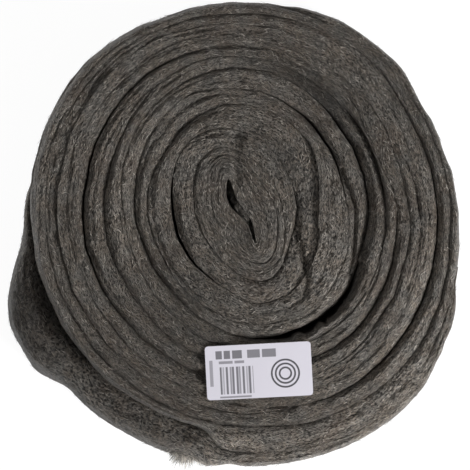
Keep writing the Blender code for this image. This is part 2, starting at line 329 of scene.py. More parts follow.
# The paper label, stuck to the crests.
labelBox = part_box("paper_label")
label = {
    "length": 0.070, "width": 0.0356, "corner": 0.0022, "tilt": 3.0,
    "thickness": 0.00025, "clearance": 0.0005, "cells": (24, 12),
    "ripple": 0.00012, "rippleLength": 0.013, "sharpAngle": 40,
    # How the wool under it is pressed: how far round it, how flat and how low.
    "pressReach": 0.004, "pressFlat": 0.75, "pressDepth": 0.0004,
    # Cells of the bake's map: left, width, low, height.
    "topCell": (0.01, 0.98, 0.01, 0.48), "underCell": (0.01, 0.60, 0.51, 0.30),
    "edgeCell": (0.01, 0.45, 0.85, 0.1), "offPrint": (100, 100),
}
labelMiddle = complex(
    (labelBox[0][0] + labelBox[1][0]) / 2 - winding["slitCentre"][0],
    (labelBox[0][1] + labelBox[1][1]) / 2 - winding["slitCentre"][1],
)


def underLabel(point):
    local = (point - labelMiddle) * towards(-label["tilt"])
    beyond = np.maximum(np.abs(local.real) - label["length"] / 2, np.abs(local.imag) - label["width"] / 2)
    return ease(1 - beyond / label["pressReach"])


# Height of the strip's top at a share of its thickness, 0 at its inner face.
def crownHeight(turn, share, arc, inner, outer):
    width = np.abs(outer - inner)
    across = share * width
    crest = 0.5 + relief["crestShift"] * softNoise(arc / relief["crestLength"], 0.0, 11)
    side = np.where(share < crest, (share - crest) / crest, (share - crest) / (1 - crest))
    # The tail covers the rim's outer side where it has risen again.
    bare = 1 - risen(turn + 1) * ease((lastTurn - 1 - turn) / relief["coveredReach"])
    outerDepth = creaseDepth(turn) + (relief["rimDepth"] - relief["creaseDepth"]) * rimShare(turn) * bare
    depth = np.where(side < 0, creaseDepth(turn - 1), outerDepth)
    depth = np.minimum(depth, relief["steepest"] * width)
    point = inner + (outer - inner) * share
    height = plainTop(turn, (inner + outer) / 2) - depth * np.abs(side) ** relief["crownPower"]
    rough = -foldDepth(point)
    folded = np.clip(width / relief["foldedWidth"], *relief["foldedLimits"])
    for place, seed in relief["folds"]:
        middle = place + relief["foldShift"] * softNoise(arc / relief["foldShiftLength"], 0.0, seed)
        parted = softNoise(arc / relief["partLength"], 0.0, seed + 10)
        parted = ease(parted * relief["partGain"] + relief["partBias"])
        groove = np.exp(-((share - middle) / relief["foldWidth"]) ** 2)
        rough = rough - relief["foldDepth"] * parted * groove * folded
    for size, length, breadth, shift, seed in relief["lumps"]:
        rough = rough + size * softNoise(arc / length, across / breadth + shift, seed)
    atEdge = relief["edgeSink"]
    rough = rough - relief["sink"] * (atEdge + (1 - atEdge) * ease(1 - np.abs(side)))
    pressed = underLabel(point)
    return height + rough * (1 - label["pressFlat"] * pressed) - label["pressDepth"] * pressed


# Painted light and shade on the wool: lighter on lit crests and slopes, darker in shaded creases, hollows
# and the tail flap that lies in the roll's shadow: turn, half the stretch, share of the width, half of
# that, gain.
paintedLightAndShadeOnStrip = [
    (15.07, 0.085, 0.5, 4.0, -0.58), (15.16, 0.07, 0.5, 4.0, -0.42), (15.34, 0.14, 0.6, 1.2, 0.56),
    (15.226, 0.034, 0.3, 1.2, 0.95), (14.34, 0.15, 0.5, 0.8, 0.44), (14.235, 0.03, 0.9, 0.4, 0.60),
    (12.44, 0.17, 0.75, 0.5, 0.55),
    (13.42, 0.18, 0.5, 0.7, 0.26), (7.40, 0.16, 0.6, 0.5, 0.42), (6.42, 0.10, 0.5, 0.9, 0.30),
    (8.36, 0.12, 0.8, 0.5, 0.24), (8.40, 0.12, 0.2, 0.4, -0.36), (8.66, 0.12, 0.6, 0.9, -0.58),
    (9.67, 0.10, 0.1, 0.6, -0.42), (10.60, 0.10, 0.4, 0.7, -0.22), (5.62, 0.15, 0.1, 0.4, -0.38),
    (4.62, 0.12, 0.9, 0.5, -0.24), (7.93, 0.16, 0.4, 0.7, 0.22), (9.00, 0.12, 0.1, 0.5, 0.26),
    (14.14, 0.13, 1.0, 0.45, -0.42), (12.70, 0.12, 0.5, 0.9, 0.10), (13.20, 0.14, 0.6, 0.8, -0.12),
    (9.40, 0.10, 0.5, 0.6, 0.16), (13.66, 0.10, 0.2, 0.5, -0.16), (9.95, 0.10, 0.4, 0.6, 0.14),
]
# Painted light and shade by place, such as the shade round the slit's lips: bearing and distance from the
# slit, reach, gain.
paintedLightAndShadeByPlace = [
    (240, 0.062, 0.030, -0.16), (138, 0.020, 0.012, 0.20), (320, 0.036, 0.014, 0.22),
    (252, 0.106, 0.028, -0.20), (330, 0.052, 0.010, 0.16), (340, 0.130, 0.026, 0.14),
    (292, 0.017, 0.009, -0.42), (98, 0.038, 0.013, -0.20), (284, 0.122, 0.018, -0.18),
    (318, 0.158, 0.020, 0.24), (330, 0.028, 0.010, 0.10), (150, 0.0785, 0.007, 0.28),
    (160, 0.079, 0.007, 0.28), (170, 0.079, 0.007, 0.28), (180, 0.0785, 0.007, 0.28),
    (190, 0.077, 0.007, 0.24), (200, 0.075, 0.007, 0.20), (226, 0.088, 0.036, -0.08),
    (48, 0.094, 0.026, -0.07), (132, 0.122, 0.026, -0.06),
]


paintedLightAndShadeLimits = (0.2, 1.9)
paintedLightAndShadeOverlap = 1.5


# Painted light and shade: a gain on the wool's colour, summed from the two lists above.
def paintedLightAndShadeAt(turn, share, point):
    paintedLightAndShade = np.ones(np.broadcast(turn, share).shape)
    for centre, half, across, halfAcross, gain in paintedLightAndShadeOnStrip:
        aside = np.abs(share - across) / halfAcross
        paintedLightAndShade = paintedLightAndShade + gain * (ease(1 - np.abs(turn - centre) / half) * ease(paintedLightAndShadeOverlap - aside))
    for bearing, distance, reach, gain in paintedLightAndShadeByPlace:
        paintedLightAndShade = paintedLightAndShade + gain * np.exp(-(np.abs(point - distance * towards(bearing)) / reach) ** 2)
    return np.clip(paintedLightAndShade, *paintedLightAndShadeLimits)


wallPlaces = (0.0, 0.45, 0.74, 0.91)


# Places round the strip's closed section: which face they lie on and how far along it.
def sectionRows(crownCount, outerRows):
    outerPlaces = [k / outerRows for k in range(outerRows)] if outerRows else wallPlaces
    rows = [("foot", 0.5), ("foot", 1.0)]
    rows += [("outer", place) for place in outerPlaces]
    rows += [("crown", 0.5 + 0.5 * math.cos(math.pi * k / crownCount)) for k in range(crownCount + 1)]
    rows += [("inner", place) for place in reversed(wallPlaces)]
    rows += [("foot", 0.0), ("foot", 0.5)]
    return rows


# How far each wall stands back from its crease at a share of its height.
def standBack(turn, place):
    opened = bumpSum(turn, looseSpots) / 2 * ease((place - 1 + relief["openDown"]) / relief["openDown"])
    return relief["gap"] / 2 + opened


def scallops(turn, arc):
    along = arc / gapTufts["length"]
    wave = gapTufts["bias"] + gapTufts["gain"] * softNoise(along, 0.0, 51)
    wave = ease(wave + gapTufts["ragged"] * softNoise(along * gapTufts["raggedFiner"], 0.0, 52))
    return -gapTufts["reach"] * ease(1 - np.abs(turn - gapTufts["turn"]) / gapTufts["half"]) * wave


def outerWall(turn, arc, place, height):
    inner, outer = facesAt(turn)
    lean = relief["tailShoulder"] * tailShare(turn) * place * place
    exposed = ease((turn - lastTurn + bareWall["from"]) / bareWall["fade"])
    wave = 0.0
    for gain, length, breadth, seed in bareWall["waves"]:
        wave = wave + gain * softNoise(arc / length, height / breadth, seed)
    above = ease(place * bareWall["rise"] + bareWall["lowShare"])
    out = exposed * bareWall["depth"] * wave * above - standBack(turn, place)
    return inner + (outer - inner) * (1 - lean) + unit(outer) * out


# The two upper edges of the strip, seen from above.
def topEdges(turn, arc):
    inner = facesAt(turn)[0]
    innerTop = inner + unit(inner) * (standBack(turn - 1, 1.0) + scallops(turn - 1, arc))
    return innerTop, outerWall(turn, arc, 1.0, bareWall["edgeHeight"])


# Coordinates of every row at every station, and the width run so far across each.
def stripPlaces(turns, rows):
    inner, outer = facesAt(turns)
    arc = arcAt(turns)
    width = np.abs(outer - inner)
    foot = relief["foot"] + (relief["rimFoot"] - relief["foot"]) * rimShare(turns)
    foot = np.minimum(foot, width * relief["footReach"])
    innerFoot = np.minimum(relief["foot"], width * relief["footReach"])
    innerTop, outerTop = topEdges(turns, arc)
    outerEdge = crownHeight(turns, 1.0, arc, innerTop, outerTop)
    innerEdge = crownHeight(turns, 0.0, arc, innerTop, outerTop)
    flat, heights = [], []
    for kind, place in rows:
        if kind == "foot":
            share = 0.5 if place == 0.5 else (1 - foot / width if place else innerFoot / width)
            flat.append(inner + (outer - inner) * share)
            heights.append(np.zeros_like(turns))
        elif kind == "outer":
            height = foot * 2 + (outerEdge - foot * 2) * place
            flat.append(outerWall(turns, arc, place, height))
            heights.append(height)
        elif kind == "crown":
            flat.append(innerTop + (outerTop - innerTop) * place)
            heights.append(crownHeight(turns, place, arc, innerTop, outerTop))
        else:
            opened = standBack(turns - 1, place) + scallops(turns - 1, arc) * ease(place * 2 - 1)
            flat.append(inner + unit(inner) * opened)
            heights.append(innerFoot * 2 + (innerEdge - innerFoot * 2) * place)
    flat, heights = np.array(flat), np.array(heights)
    stepAcross = np.hypot(np.abs(np.diff(flat, axis=0)), np.diff(heights, axis=0)).mean(axis=1)
    return flat, heights, np.concatenate(([0.0], np.cumsum(stepAcross)))


def addObject(name, content):
    piece = bpy.data.objects.new(name, content)
    bpy.context.scene.collection.objects.link(piece)
    return piece


# A flat grid is wound into its stretch of the roll, then welded along its foot and capped.
def windStrip(name, settings):
    rows = sectionRows(settings["crown"], settings.get("outerRows"))
    stations = int((arcAt(settings["end"]) - arcAt(settings["start"])) / settings["spacing"])
    bm = bmesh.new()
    bmesh.ops.create_grid(bm, x_segments=stations, y_segments=len(rows) - 1, size=0.5)
    mesh = bpy.data.meshes.new(name)
    bm.to_mesh(mesh)
    places = np.empty(len(mesh.vertices) * 3)
    mesh.vertices.foreach_get("co", places)
    places = places.reshape(-1, 3)
    station = np.rint((places[:, 0] + 0.5) * stations).astype(int)
    row = np.rint((places[:, 1] + 0.5) * (len(rows) - 1)).astype(int)
    arcs = np.linspace(arcAt(settings["start"]), arcAt(settings["end"]), stations + 1)
    turns = turnAtArc(arcs)
    flat, heights, across = stripPlaces(turns, rows)
    spot = flat[row, station]
    rowShares = {"outer": 1.0, "inner": 0.0, "foot": 0.5}
    shares = np.array([rowShares.get(kind, place) for kind, place in rows])
    # The painted light and shade of each vertex, which the material multiplies into the colour.
    paintedLightAndShade = mesh.attributes.new("paintedLightAndShade", "FLOAT", "POINT")
    paintedLightAndShade.data.foreach_set("value", paintedLightAndShadeAt(turns[station], shares[row], spot))
    places[:, 0] = spot.real + winding["slitCentre"][0]
    places[:, 1] = spot.imag + winding["slitCentre"][1]
    places[:, 2] = heights[row, station]
    mesh.vertices.foreach_set("co", places.ravel())

    corner = np.empty(len(mesh.loops), dtype=np.int32)
    mesh.loops.foreach_get("vertex_index", corner)
    along, over = arcs[station[corner]] - arcs[0], across[row[corner]]
    fibres = mesh.uv_layers.new(name="fibres")
    fibres.data.foreach_set("uv", np.column_stack((along + arcs[0], over)).ravel())
    # The bake's map lays the strip out in rows, one above the other, without waste.
    length = arcs[-1] - arcs[0]
    rowCount = max(1, round(math.sqrt(length / across[-1])))
    stationsPerRow = math.ceil(stations / rowCount)
    faceRow = (station[corner].reshape(-1, 4).min(axis=1) // stationsPerRow).repeat(4)
    rowLength = length * stationsPerRow / stations
    margin = 0.008
    laidX = margin + (1 - 2 * margin) * (along - faceRow * rowLength) / rowLength
    laidY = (faceRow + margin * rowCount + (1 - 2 * margin * rowCount) * over / across[-1]) / rowCount
    laid = mesh.uv_layers.new(name="OFBake")
    laid.data.foreach_set("uv", np.column_stack((laidX, laidY)).ravel())

    bm.clear()
    bm.from_mesh(mesh)
    bmesh.ops.remove_doubles(bm, verts=bm.verts, dist=1e-6)
    bmesh.ops.holes_fill(bm, edges=[edge for edge in bm.edges if edge.is_boundary], sides=0)
    bmesh.ops.recalc_face_normals(bm, faces=bm.faces)
    bm.to_mesh(mesh)
    bm.free()
    mesh.shade_smooth()
    print(name, len(mesh.polygons), "faces")
    return addObject(name, mesh)


# Materials.
def makeMaterial(name):
    material = bpy.data.materials.new(name)
    material.use_nodes = True
    tree = material.node_tree
    return material, tree, tree.nodes["Principled BSDF"]


def addNode(tree, kind, **values):
    node = tree.nodes.new(kind)
    for key, value in values.items():
        setattr(node, key, value)
    return node


def feed(tree, sockets, values):
    for socket, value in zip(sockets, values):
        if hasattr(value, "links"):
            tree.links.new(value, socket)
        else:
            socket.default_value = value


def mathNode(tree, operation, *values):
    node = addNode(tree, "ShaderNodeMath", operation=operation)
    feed(tree, node.inputs, values)
    return node.outputs[0]


def rangeNode(tree, value, fromLow, fromHigh, toLow, toHigh):
    node = addNode(tree, "ShaderNodeMapRange")
    feed(tree, node.inputs, (value, fromLow, fromHigh, toLow, toHigh))
    return node.outputs["Result"]


def mixColour(tree, share, first, second, blend="MIX"):
    node = addNode(tree, "ShaderNodeMix", data_type="RGBA", blend_type=blend)
    feed(tree, [socket for socket in node.inputs if socket.enabled], (share, first, second))
    return [socket for socket in node.outputs if socket.enabled][0]


wool = {
    "gap": (0.010, 0.008, 0.0065, 1), "fibre": (0.205, 0.183, 0.158, 1),
    "glint": (0.70, 0.66, 0.61, 1), "rust": (0.075, 0.046, 0.030, 1),
    "warm": (0.985, 0.930, 0.875, 1), "cool": (0.935, 0.955, 0.970, 1),
    "roughness": 0.50, "metallic": 0.25,
    # Streaks: their turn in degrees, scale along the fibres and across them.
    "broad": (4, 60, 330), "fine": (-12, 420, 1500), "crossed": (30, 460, 1400),
    "streakDetail": 2.0, "streakRoughness": 0.62,
    "fineShare": 0.6, "crossedShare": 0.4, "bodyShare": 0.86, "broadShare": 0.14,
    "bodyRange": (0.44, 0.58, 0.0, 1.0),
    # Painted glints on single fibres: where each noise has its ridge, and how wide it is.
    "fineRidge": (0.5, 0.020), "crossedRidge": (0.52, 0.018), "glintRange": (0.40, 0.64, 0.20, 0.62),
    "tinge": (85, 4), "tingeRange": (0.40, 0.62, 0.0, 1.0),
    "cloud": (34, 3), "rustRange": (0.52, 0.74, 0.0, 0.32),
    "bumpStrength": 0.8, "bumpDistance": 0.0009,
}


def streakNoise(tree, uv, settings):
    turn, alongScale, acrossScale = settings
    mapping = addNode(tree, "ShaderNodeMapping")
    mapping.inputs["Rotation"].default_value = (0, 0, math.radians(turn))
    mapping.inputs["Scale"].default_value = (alongScale, acrossScale, 1)
    tree.links.new(uv, mapping.inputs["Vector"])
    noise = addNode(tree, "ShaderNodeTexNoise", noise_dimensions="2D")
    noise.inputs["Scale"].default_value = 1.0
    noise.inputs["Detail"].default_value = wool["streakDetail"]
    noise.inputs["Roughness"].default_value = wool["streakRoughness"]
    tree.links.new(mapping.outputs["Vector"], noise.inputs["Vector"])
    return noise.outputs["Fac"]


def cloudNoise(tree, place, settings):
    noise = addNode(tree, "ShaderNodeTexNoise")
    noise.inputs["Scale"].default_value, noise.inputs["Detail"].default_value = settings
    tree.links.new(place, noise.inputs["Vector"])
    return noise.outputs["Fac"]


def productSum(tree, first, firstFactor, second, secondFactor):
    one = mathNode(tree, "MULTIPLY", first, firstFactor)
    other = mathNode(tree, "MULTIPLY", second, secondFactor)
    return mathNode(tree, "ADD", one, other)


# A bright line where a noise crosses its middle value.
def ridgeLine(tree, noise, settings):
    middle, halfWidth = settings
    distance = mathNode(tree, "ABSOLUTE", mathNode(tree, "SUBTRACT", noise, middle))
    return rangeNode(tree, distance, 0.0, halfWidth, 1.0, 0.0)


def woolMaterial():
    material, tree, shader = makeMaterial("steelWool")
    uv = addNode(tree, "ShaderNodeUVMap", uv_map="fibres").outputs["UV"]
    place = addNode(tree, "ShaderNodeTexCoord").outputs["Object"]
    broad = streakNoise(tree, uv, wool["broad"])
    fine = streakNoise(tree, uv, wool["fine"])
    crossed = streakNoise(tree, uv, wool["crossed"])
    body = productSum(tree, fine, wool["fineShare"], crossed, wool["crossedShare"])
    body = productSum(tree, body, wool["bodyShare"], broad, wool["broadShare"])
    body = rangeNode(tree, body, *wool["bodyRange"])
    colour = mixColour(tree, body, wool["gap"], wool["fibre"])
    # Painted glints on single fibres: the narrow ridges of two streaky noises.
    fineLines = ridgeLine(tree, fine, wool["fineRidge"])
    crossedLines = ridgeLine(tree, crossed, wool["crossedRidge"])
    bright = mathNode(tree, "MAXIMUM", fineLines, crossedLines)
    bright = mathNode(tree, "MULTIPLY", bright, rangeNode(tree, broad, *wool["glintRange"]))
    colour = mixColour(tree, bright, colour, wool["glint"])
    # Broad changes: a warmer or cooler tinge, and a brownish cast in patches.
    coolness = rangeNode(tree, cloudNoise(tree, place, wool["tinge"]), *wool["tingeRange"])
    tint = mixColour(tree, coolness, wool["warm"], wool["cool"])
    colour = mixColour(tree, 1.0, colour, tint, "MULTIPLY")
    patch = rangeNode(tree, cloudNoise(tree, place, wool["cloud"]), *wool["rustRange"])
    colour = mixColour(tree, patch, colour, wool["rust"])
    # Painted light and shade, multiplied into the colour.
    paintedLightAndShade = addNode(tree, "ShaderNodeAttribute", attribute_name="paintedLightAndShade").outputs["Fac"]
    colour = mixColour(tree, 1.0, colour, paintedLightAndShade, "MULTIPLY")
    tree.links.new(colour, shader.inputs["Base Color"])
    shader.inputs["Roughness"].default_value = wool["roughness"]
    shader.inputs["Metallic"].default_value = wool["metallic"]
    bump = addNode(tree, "ShaderNodeBump")
    bump.inputs["Strength"].default_value = wool["bumpStrength"]
    bump.inputs["Distance"].default_value = wool["bumpDistance"]
    tree.links.new(mathNode(tree, "ADD", body, bright), bump.inputs["Height"])
    tree.links.new(bump.outputs["Normal"], shader.inputs["Normal"])
    return material


woolSurface = woolMaterial()
stretches = {
    "woolCore": {"start": 0.0, "end": 5.6, "crown": 20, "spacing": 0.0015},
    "woolMiddle": {"start": 5.6, "end": 10.2, "crown": 18, "spacing": 0.0016},
    "woolOuter": {"start": 10.2, "end": 12.9, "crown": 18, "spacing": 0.0016},
    "woolRim": {"start": 12.9, "end": 14.45, "crown": 18, "spacing": 0.0016},
    "woolTail": {"start": 14.45, "end": lastTurn, "crown": 18, "outerRows": 26, "spacing": 0.0017},
}
for name, settings in stretches.items():
    piece = windStrip(name, settings)
    piece.data.materials.append(woolSurface)
    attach(piece, "root")
    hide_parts("wool_roll")
print("wool wound")


# Loose fibres that lie on the wool, mostly along its turns.
strands = {
    "points": 4, "sides": 3, "length": (0.0018, 0.0056), "radius": (0.00010, 0.00019), "thinning": 1.6,
    "spread": 22.0, "strayShare": 0.20, "straySpread": 60.0, "crossingShare": 0.2, "bow": 0.07,
    "lift": (0.00008, 0.00042), "dip": 0.00025, "raisedShare": 0.05, "raised": 0.0011,
    "firstTurn": 0.1, "endMargin": 0.004, "widestCrossing": 0.0008, "labelMargin": 0.2,
    # How far across its turn a strand may lie, and how far past it on the next.
    "within": (0.03, 0.97), "beyond": (-0.9, 1.9), "alone": 1.1,
    "shadeSpread": (0.60, 2.15),
    "dark": (0.022, 0.018, 0.014, 1), "pale": (0.84, 0.78, 0.70, 1),
    "roughness": 0.42, "metallic": 0.35,
}
strandFields = {
    "fibresCore": {"start": 0.15, "end": 7.3, "count": 7800, "seed": 1},
    "fibresMiddle": {"start": 7.3, "end": 10.9, "count": 7600, "seed": 2},
    "fibresRim": {"start": 10.9, "end": 15.44, "count": 9400, "seed": 3},
}


def strandMaterial():
    material, tree, shader = makeMaterial("looseFibre")
    # The attribute holds each strand's random brightness times painted light and shade.
    shade = addNode(tree, "ShaderNodeAttribute", attribute_name="shade").outputs["Fac"]
    tree.links.new(mixColour(tree, shade, strands["dark"], strands["pale"]), shader.inputs["Base Color"])
    shader.inputs["Roughness"].default_value = strands["roughness"]
    shader.inputs["Metallic"].default_value = strands["metallic"]
    return material


# A point on the crown; past an edge it goes on over the next turn.
def crownPoint(turn, share):
    within, beyond = strands["within"], strands["beyond"]
    lowest = np.where((turn > rimTurn) | (turn < strands["alone"]), within[0], beyond[0])
    highest = np.where(turn > rimTurn - 1, within[1], beyond[1])
    share = np.clip(share, lowest, highest)
    turn = turn + np.floor(share)
    share = share - np.floor(share)
    arc = arcAt(turn)
    inner, outer = topEdges(turn, arc)
    return inner + (outer - inner) * share, crownHeight(turn, share, arc, inner, outer)


# One thin tube for each row of points.
def strandObject(name, flat, heights, radii, shades):
    count, points = flat.shape
    sides = strands["sides"]
    curve = bpy.data.curves.new(name, "CURVE")
    curve.dimensions = "3D"
    ring = bpy.data.curves.new(name + "Ring", "CURVE")
    ring.dimensions = "2D"
    profile = ring.splines.new("POLY")
    profile.points.add(sides - 1)
    for k, spot in enumerate(profile.points):
        angle = math.radians(90 + 360 * k / sides)
        spot.co = (math.cos(angle), math.sin(angle), 0, 1)
    profile.use_cyclic_u = True
    ringObject = addObject(name + "Ring", ring)
    curve.bevel_mode = "OBJECT"
    curve.bevel_object = ringObject
    places = np.empty((count, points, 4))
    places[:, :, 0] = flat.real + winding["slitCentre"][0]
    places[:, :, 1] = flat.imag + winding["slitCentre"][1]
    places[:, :, 2] = heights
    places[:, :, 3] = 1
    for place, radius in zip(places, radii):
        spline = curve.splines.new("POLY")
        spline.points.add(points - 1)
        spline.points.foreach_set("co", place.ravel())
        spline.points.foreach_set("radius", radius)
    helper = addObject(name + "Curve", curve)
    bpy.context.view_layer.update()
    evaluated = helper.evaluated_get(bpy.context.evaluated_depsgraph_get())
    mesh = bpy.data.meshes.new_from_object(evaluated)
    for old in (helper, ringObject):
        bpy.data.objects.remove(old, do_unlink=True)
    for old in (curve, ring):
        bpy.data.curves.remove(old)

    bm = bmesh.new()
    bm.from_mesh(mesh)
    bmesh.ops.holes_fill(bm, edges=[edge for edge in bm.edges if edge.is_boundary], sides=sides)
    bmesh.ops.recalc_face_normals(bm, faces=bm.faces)
    bm.to_mesh(mesh)
    bm.free()
    corner = np.empty(len(mesh.loops), dtype=np.int32)
    mesh.loops.foreach_get("vertex_index", corner)
    vertex = np.arange(len(mesh.vertices))
    owner = vertex // (points * sides)
    shade = mesh.attributes.new("shade", "FLOAT", "POINT")
    shade.data.foreach_set("value", shades[owner])
    # The bake's map gives each strand a cell of its own.
    cells = math.ceil(math.sqrt(count))
    along = vertex % (points * sides) // sides / (points - 1)
    around = vertex % sides / (sides - 1)
    laidX = (owner % cells + 0.1 + 0.8 * along) / cells
    laidY = (owner // cells + 0.1 + 0.8 * around) / cells
    laid = mesh.uv_layers.new(name="OFBake")
    laid.data.foreach_set("uv", np.column_stack((laidX[corner], laidY[corner])).ravel())
    mesh.materials.append(strandSurface)
    mesh.shade_smooth()
    print(name, count, "strands,", len(mesh.polygons), "faces")
    return addObject(name, mesh)


def strandRadii(dice, count, thinning):
    return dice.uniform(*strands["radius"], count)[:, None] * (1 - thinning)


def layStrands(name, field):
    dice = np.random.default_rng(field["seed"])
    count = field["count"]
    turns = np.linspace(field["start"], field["end"], 4000)
    inner, outer = facesAt(turns)
    area = np.concatenate(([0.0], np.cumsum(np.abs(outer - inner)[1:] * np.diff(arcAt(turns)))))
    turn = np.interp(dice.random(count) * area[-1], area, turns)
    share = dice.random(count)
    width = np.interp(turn, turns, np.abs(outer - inner))
    stray = dice.random(count) < strands["strayShare"]
    spread = np.where(stray, strands["straySpread"], strands["spread"])
    angle = np.radians(dice.normal(0, 1, count) * spread)
    length = dice.uniform(*strands["length"], count)
    step = np.linspace(-0.5, 0.5, strands["points"])[None, :]
    arch = 1 - 4 * step * step
    bow = arch * (dice.normal(0, strands["bow"], count) * length)[:, None]
    along = step * length[:, None] * np.cos(angle)[:, None] - bow * np.sin(angle)[:, None]
    across = step * length[:, None] * np.sin(angle)[:, None] + bow * np.cos(angle)[:, None]
    spotTurn = turnAtArc(arcAt(turn)[:, None] + along)
    spotTurn = np.clip(spotTurn, strands["firstTurn"], lastTurn - strands["endMargin"])
    spotShare = share[:, None] + across / width[:, None]
    opened = bumpSum(spotTurn, looseSpots) + bumpSum(spotTurn - 1, looseSpots)
    held = (dice.random(count) > strands["crossingShare"])[:, None] | (opened > strands["widestCrossing"])
    spotShare = np.where(held, np.clip(spotShare, *strands["within"]), spotShare)
    flat, heights = crownPoint(spotTurn, spotShare)
    lift = dice.uniform(*strands["lift"], count)
    lift = lift + (dice.random(count) < strands["raisedShare"]) * dice.random(count) * strands["raised"]
    heights = heights + lift[:, None] * arch - strands["dip"] * 4 * step * step
    clear = underLabel(flat).max(axis=1) < strands["labelMargin"]
    radii = strandRadii(dice, count, strands["thinning"] * step * step)
    # Each strand's own random brightness, times the painted light and shade of the wool under it.
    shades = dice.beta(*strands["shadeSpread"], count) * paintedLightAndShadeAt(turn, share, flat[:, 1])
    return strandObject(name, flat[clear], heights[clear], radii[clear], shades[clear])


# Fuzz on the outer wall: loose fibres along it, and one frayed tuft that sticks out.
fuzz = {
    "start": 14.47, "end": 15.46, "count": 3600, "seed": 4, "length": (0.003, 0.009), "lowest": 0.006,
    "places": (0.0, 0.98), "lift": (0.0001, 0.0011), "spread": 40.0, "aheadTurn": 0.002,
    "flare": 1.5, "thinning": 0.5,
    "tuft": (15.203, 0.006), "tuftCount": 480, "tuftLength": (0.005, 0.011), "tuftPlaces": (0.45, 1.0),
    "tuftShortest": 0.3, "tuftLift": (0.4, 1.0), "tuftAlong": 0.5, "tuftClimb": 0.4, "tuftShine": 2.4,
}


def layFuzz(name):
    dice = np.random.default_rng(fuzz["seed"])
    count = fuzz["count"]
    inTuft = np.arange(count) < fuzz["tuftCount"]

    def rolled(tuftRange, wallRange):
        return np.where(inTuft, dice.uniform(*tuftRange, count), dice.uniform(*wallRange, count))

    tuftTurn = dice.normal(*fuzz["tuft"], count)
    turn = np.where(inTuft, tuftTurn, dice.uniform(fuzz["start"], fuzz["end"], count))
    place = rolled(fuzz["tuftPlaces"], fuzz["places"])
    arc = arcAt(turn)
    inner, outer = topEdges(turn, arc)
    height = place * crownHeight(turn, 1.0, arc, inner, outer)
    wall = outerWall(turn, arc, place, height)
    ahead = turn + fuzz["aheadTurn"]
    forward = unit(outerWall(ahead, arcAt(ahead), place, height) - wall)
    forward = forward * np.where(dice.random(count) < 0.5, 1, -1)
    peak = np.exp(-((turn - fuzz["tuft"][0]) / fuzz["tuft"][1]) ** 2)
    shortest = fuzz["tuftShortest"]
    tuftLength = dice.uniform(*fuzz["tuftLength"], count) * (shortest + (1 - shortest) * peak)
    length = np.where(inTuft, tuftLength, dice.uniform(*fuzz["length"], count))
    angle = np.radians(dice.normal(0, fuzz["spread"], count))
    lift = rolled(fuzz["tuftLift"], fuzz["lift"]) * np.where(inTuft, length, 1.0)
    along = np.where(inTuft, fuzz["tuftAlong"], 1.0) * length * np.cos(angle)
    climb = np.sin(angle) * length * np.where(inTuft, fuzz["tuftClimb"], 1.0)
    step = np.linspace(0, 1, strands["points"])[None, :]
    flat = wall[:, None] + forward[:, None] * along[:, None] * step
    out = lift[:, None] * step ** fuzz["flare"] - strands["dip"] * (1 - step)
    flat = flat + unit(wall)[:, None] * out
    heights = np.clip(height[:, None] + climb[:, None] * step, fuzz["lowest"], None)
    radii = strandRadii(dice, count, fuzz["thinning"] * step)
    shine = np.where(inTuft, fuzz["tuftShine"], 1.0)
    # Each fibre's own random brightness, times the painted light and shade of the wall; paler in the tuft.
    shades = dice.beta(*strands["shadeSpread"], count) * paintedLightAndShadeAt(turn, 1.0, wall) * shine
    return strandObject(name, flat, heights, radii, shades)


# Fibres that bridge the slit below its lips, high in its middle and low at its ends.
slitFuzz = {
    "count": 620, "seed": 5, "length": (0.0022, 0.0056), "sideways": 0.0013, "depth": (0.0004, 0.0080),
    "lowDepth": (0.0040, 0.0120), "lowFrom": 0.005, "lowReach": 0.005, "tilt": 0.0008, "paintedSlitShade": 0.60,
}


def laySlitFuzz(name):
    dice = np.random.default_rng(slitFuzz["seed"])
    count = slitFuzz["count"]
    along = dice.uniform(-0.5, 0.5, count) * winding["slitLength"]
    middle = along + 1j * dice.normal(0, slitFuzz["sideways"], count)
    middle = bendSlit(middle * towards(winding["ovalBearing"]))
    low = ease((np.abs(along) - slitFuzz["lowFrom"]) / slitFuzz["lowReach"])
    depth = dice.uniform(*slitFuzz["depth"], count) + low * dice.uniform(*slitFuzz["lowDepth"], count)
    step = np.linspace(-0.5, 0.5, strands["points"])[None, :]
    length = dice.uniform(*slitFuzz["length"], count)
    flat = middle[:, None] + towards(dice.uniform(0, 360, count))[:, None] * length[:, None] * step
    heights = (smoothTop(middle) - depth)[:, None] + dice.normal(0, slitFuzz["tilt"], count)[:, None] * step
    radii = strandRadii(dice, count, strands["thinning"] * step * step)
    # Painted shade: the fibres down in the slit are darkened.
    shades = dice.beta(*strands["shadeSpread"], count) * slitFuzz["paintedSlitShade"]
    return strandObject(name, flat, heights, radii, shades)


strandSurface = strandMaterial()
fibrePieces = [layStrands(name, field) for name, field in strandFields.items()]
fibrePieces += [layFuzz("fibresWall"), laySlitFuzz("fibresSlit")]
for piece in fibrePieces:
    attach(piece, "root")
print("fibres laid")


